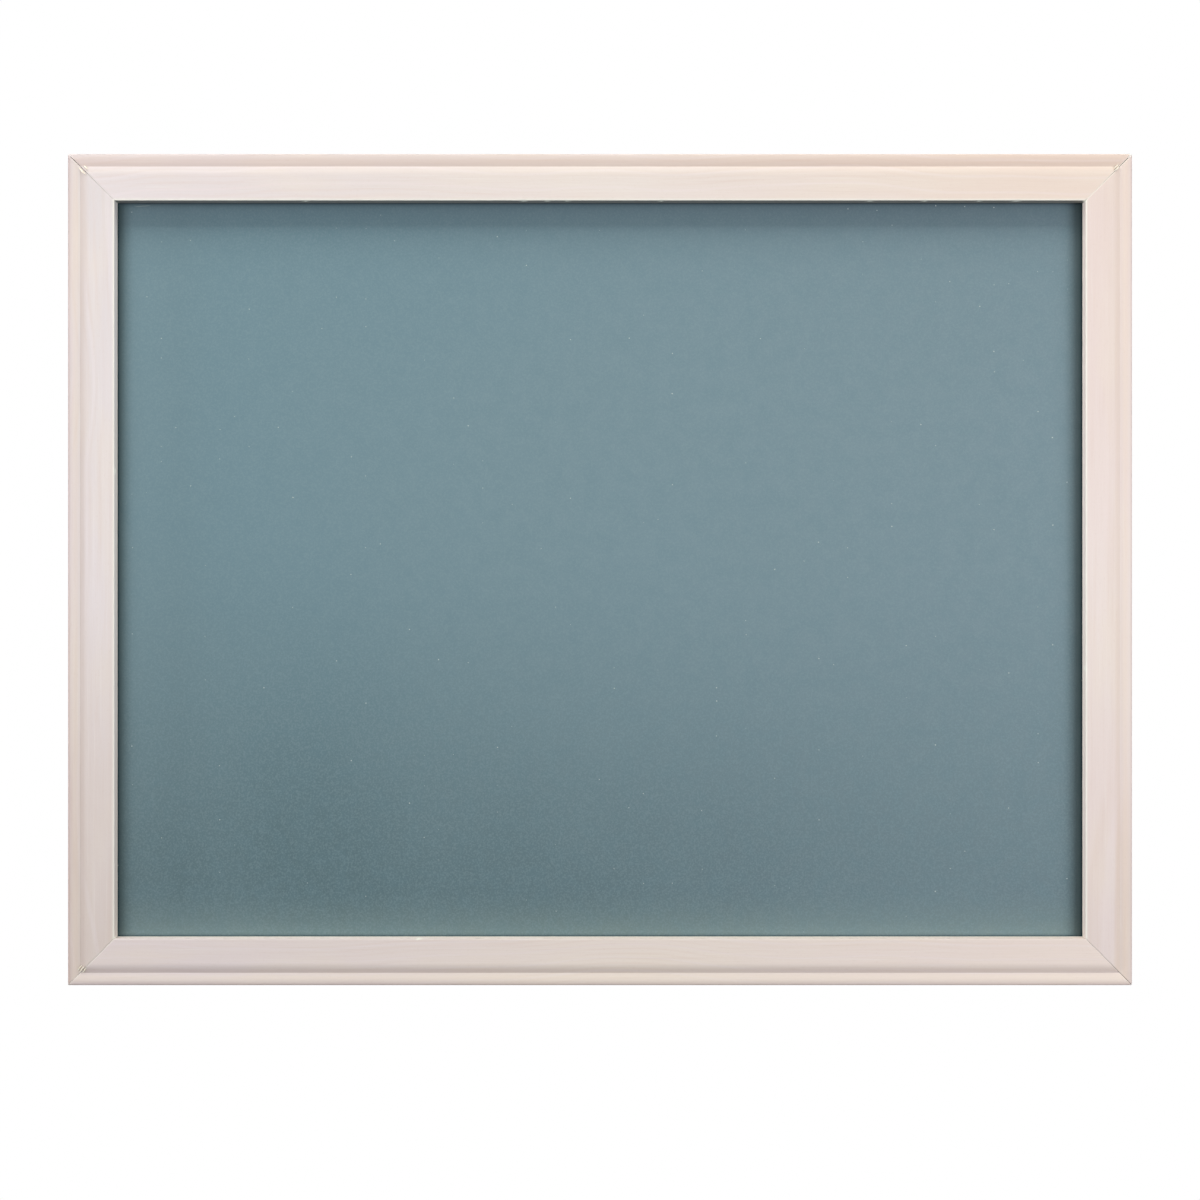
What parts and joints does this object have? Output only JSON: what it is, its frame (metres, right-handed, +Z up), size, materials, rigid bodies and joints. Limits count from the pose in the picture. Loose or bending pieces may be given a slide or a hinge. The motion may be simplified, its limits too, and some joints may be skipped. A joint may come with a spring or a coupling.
{
  "type": "chalkboard",
  "caption": "Wall chalkboard: a matt slate writing panel set in a mitred pale wood moulding, with folding D-ring hangers and bumpers on its back.",
  "frame": {"origin": "on the plane of the frame's back, midway between the pivots of the two hanging rings", "axes": "+X to the right as a person facing the board sees it, +Y out of the back towards the wall, +Z up"},
  "size_m": [0.658, 0.0237, 0.514],
  "materials": {
    "pale_wood": "satin",
    "slate_coating": "matte",
    "hardboard": "matte",
    "bright_steel": "satin",
    "zinc_plate": "satin",
    "bumper_rubber": "matte"
  },
  "bodies": {
    "board": {"top_rail": "pale_wood", "bottom_rail": "pale_wood", "left_stile": "pale_wood", "right_stile": "pale_wood", "writing_surface": "slate_coating", "core_board": "hardboard", "v_nail_top_left_inner": "bright_steel", "v_nail_top_left_outer": "bright_steel", "v_nail_top_right_inner": "bright_steel", "v_nail_top_right_outer": "bright_steel", "v_nail_bottom_left_inner": "bright_steel", "v_nail_bottom_left_outer": "bright_steel", "v_nail_bottom_right_inner": "bright_steel", "v_nail_bottom_right_outer": "bright_steel", "framer_point_top_1": "bright_steel", "framer_point_top_2": "bright_steel", "framer_point_top_3": "bright_steel", "framer_point_top_4": "bright_steel", "framer_point_bottom_1": "bright_steel", "framer_point_bottom_2": "bright_steel", "framer_point_bottom_3": "bright_steel", "framer_point_bottom_4": "bright_steel", "framer_point_left_1": "bright_steel", "framer_point_left_2": "bright_steel", "framer_point_left_3": "bright_steel", "framer_point_right_1": "bright_steel", "framer_point_right_2": "bright_steel", "framer_point_right_3": "bright_steel", "left_hanger_strap": "zinc_plate", "right_hanger_strap": "zinc_plate", "left_hanger_screw": "zinc_plate", "right_hanger_screw": "zinc_plate", "left_bumper": "bumper_rubber", "right_bumper": "bumper_rubber"},
    "left_ring": {"left_d_ring": "zinc_plate"},
    "right_ring": {"right_d_ring": "zinc_plate"}
  },
  "joints": [
    {"name": "left_ring_swing", "type": "hinge", "parent": "board", "child": "left_ring", "pos_m": [-0.31775, 0.0025, 0], "axis": [1, 0, 0], "range_deg": [0, 180]},
    {"name": "right_ring_swing", "type": "hinge", "parent": "board", "child": "right_ring", "pos_m": [0.31775, 0.0025, 0], "axis": [1, 0, 0], "range_deg": [0, 180]}
  ]
}
